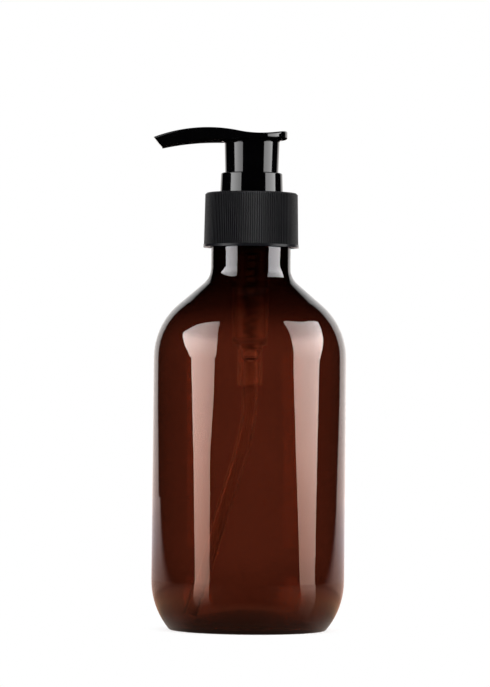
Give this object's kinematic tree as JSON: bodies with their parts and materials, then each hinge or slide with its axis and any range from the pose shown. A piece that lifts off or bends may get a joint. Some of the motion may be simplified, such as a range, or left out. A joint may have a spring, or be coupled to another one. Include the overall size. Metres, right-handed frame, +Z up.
{
  "type": "pump oil bottle",
  "caption": "Round amber bottle with a sloping shoulder and a black lock-turn lotion pump, for massage oil.",
  "frame": {"origin": "centre of the ring that the bottle stands on, on the surface that it stands on", "axes": "+Z up along the bottle's axis, the spout points along -X"},
  "size_m": [0.0637, 0.063, 0.1638],
  "materials": {
    "amber_plastic": "clear amber gloss",
    "ribbed_black": "matte",
    "gloss_black": "gloss",
    "clear_plastic": "translucent",
    "inner_plastic": "natural white",
    "soft_white": "matte",
    "spring_steel": "drawn wire",
    "ball_steel": "polished"
  },
  "bodies": {
    "bottle": {"bottle": "amber_plastic"},
    "pump": {"housing": "clear_plastic", "stem_guide": "inner_plastic", "lock_collar": "gloss_black", "gasket": "soft_white", "dip_tube": "clear_plastic"},
    "closure": {"closure": "ribbed_black"},
    "spring": {"spring": "spring_steel"},
    "actuator": {"pump_head": "gloss_black", "main_stem": "inner_plastic", "seal_stem": "inner_plastic"},
    "piston": {"piston": "inner_plastic"},
    "ball": {"check_ball": "ball_steel"}
  },
  "joints": [
    {"name": "pump_lift", "type": "slide", "parent": "bottle", "child": "pump", "axis": [0, 0, 1], "range_m": [0, 0.00635]},
    {"name": "closure_turn", "type": "hinge", "parent": "pump", "child": "closure", "pos_m": [0, 0, 0.1332], "axis": [0, 0, 1], "range_deg": [0, 540]},
    {"name": "head_turn", "type": "hinge", "parent": "pump", "child": "spring", "pos_m": [0, 0, 0.1071], "axis": [0, 0, 1], "range_deg": [0, 90]},
    {"name": "head_press", "type": "slide", "parent": "spring", "child": "actuator", "axis": [0, 0, -1], "range_m": [0, 0.0095], "stiffness_N_per_m": 1000, "springref_m": -0.008, "deforming": ["spring"]},
    {"name": "piston_lag", "type": "slide", "parent": "actuator", "child": "piston", "axis": [0, 0, 1], "range_m": [0, 0.0012]},
    {"name": "ball_lift", "type": "slide", "parent": "pump", "child": "ball", "axis": [0, 0, 1], "range_m": [0, 0.0014]}
  ],
  "couplings": [
    {"joint": "closure_turn", "follows": "pump_lift", "rad_per_m": 1484.3},
    {"joint": "piston_lag", "follows": "head_press", "ratio": 0.12632}
  ]
}
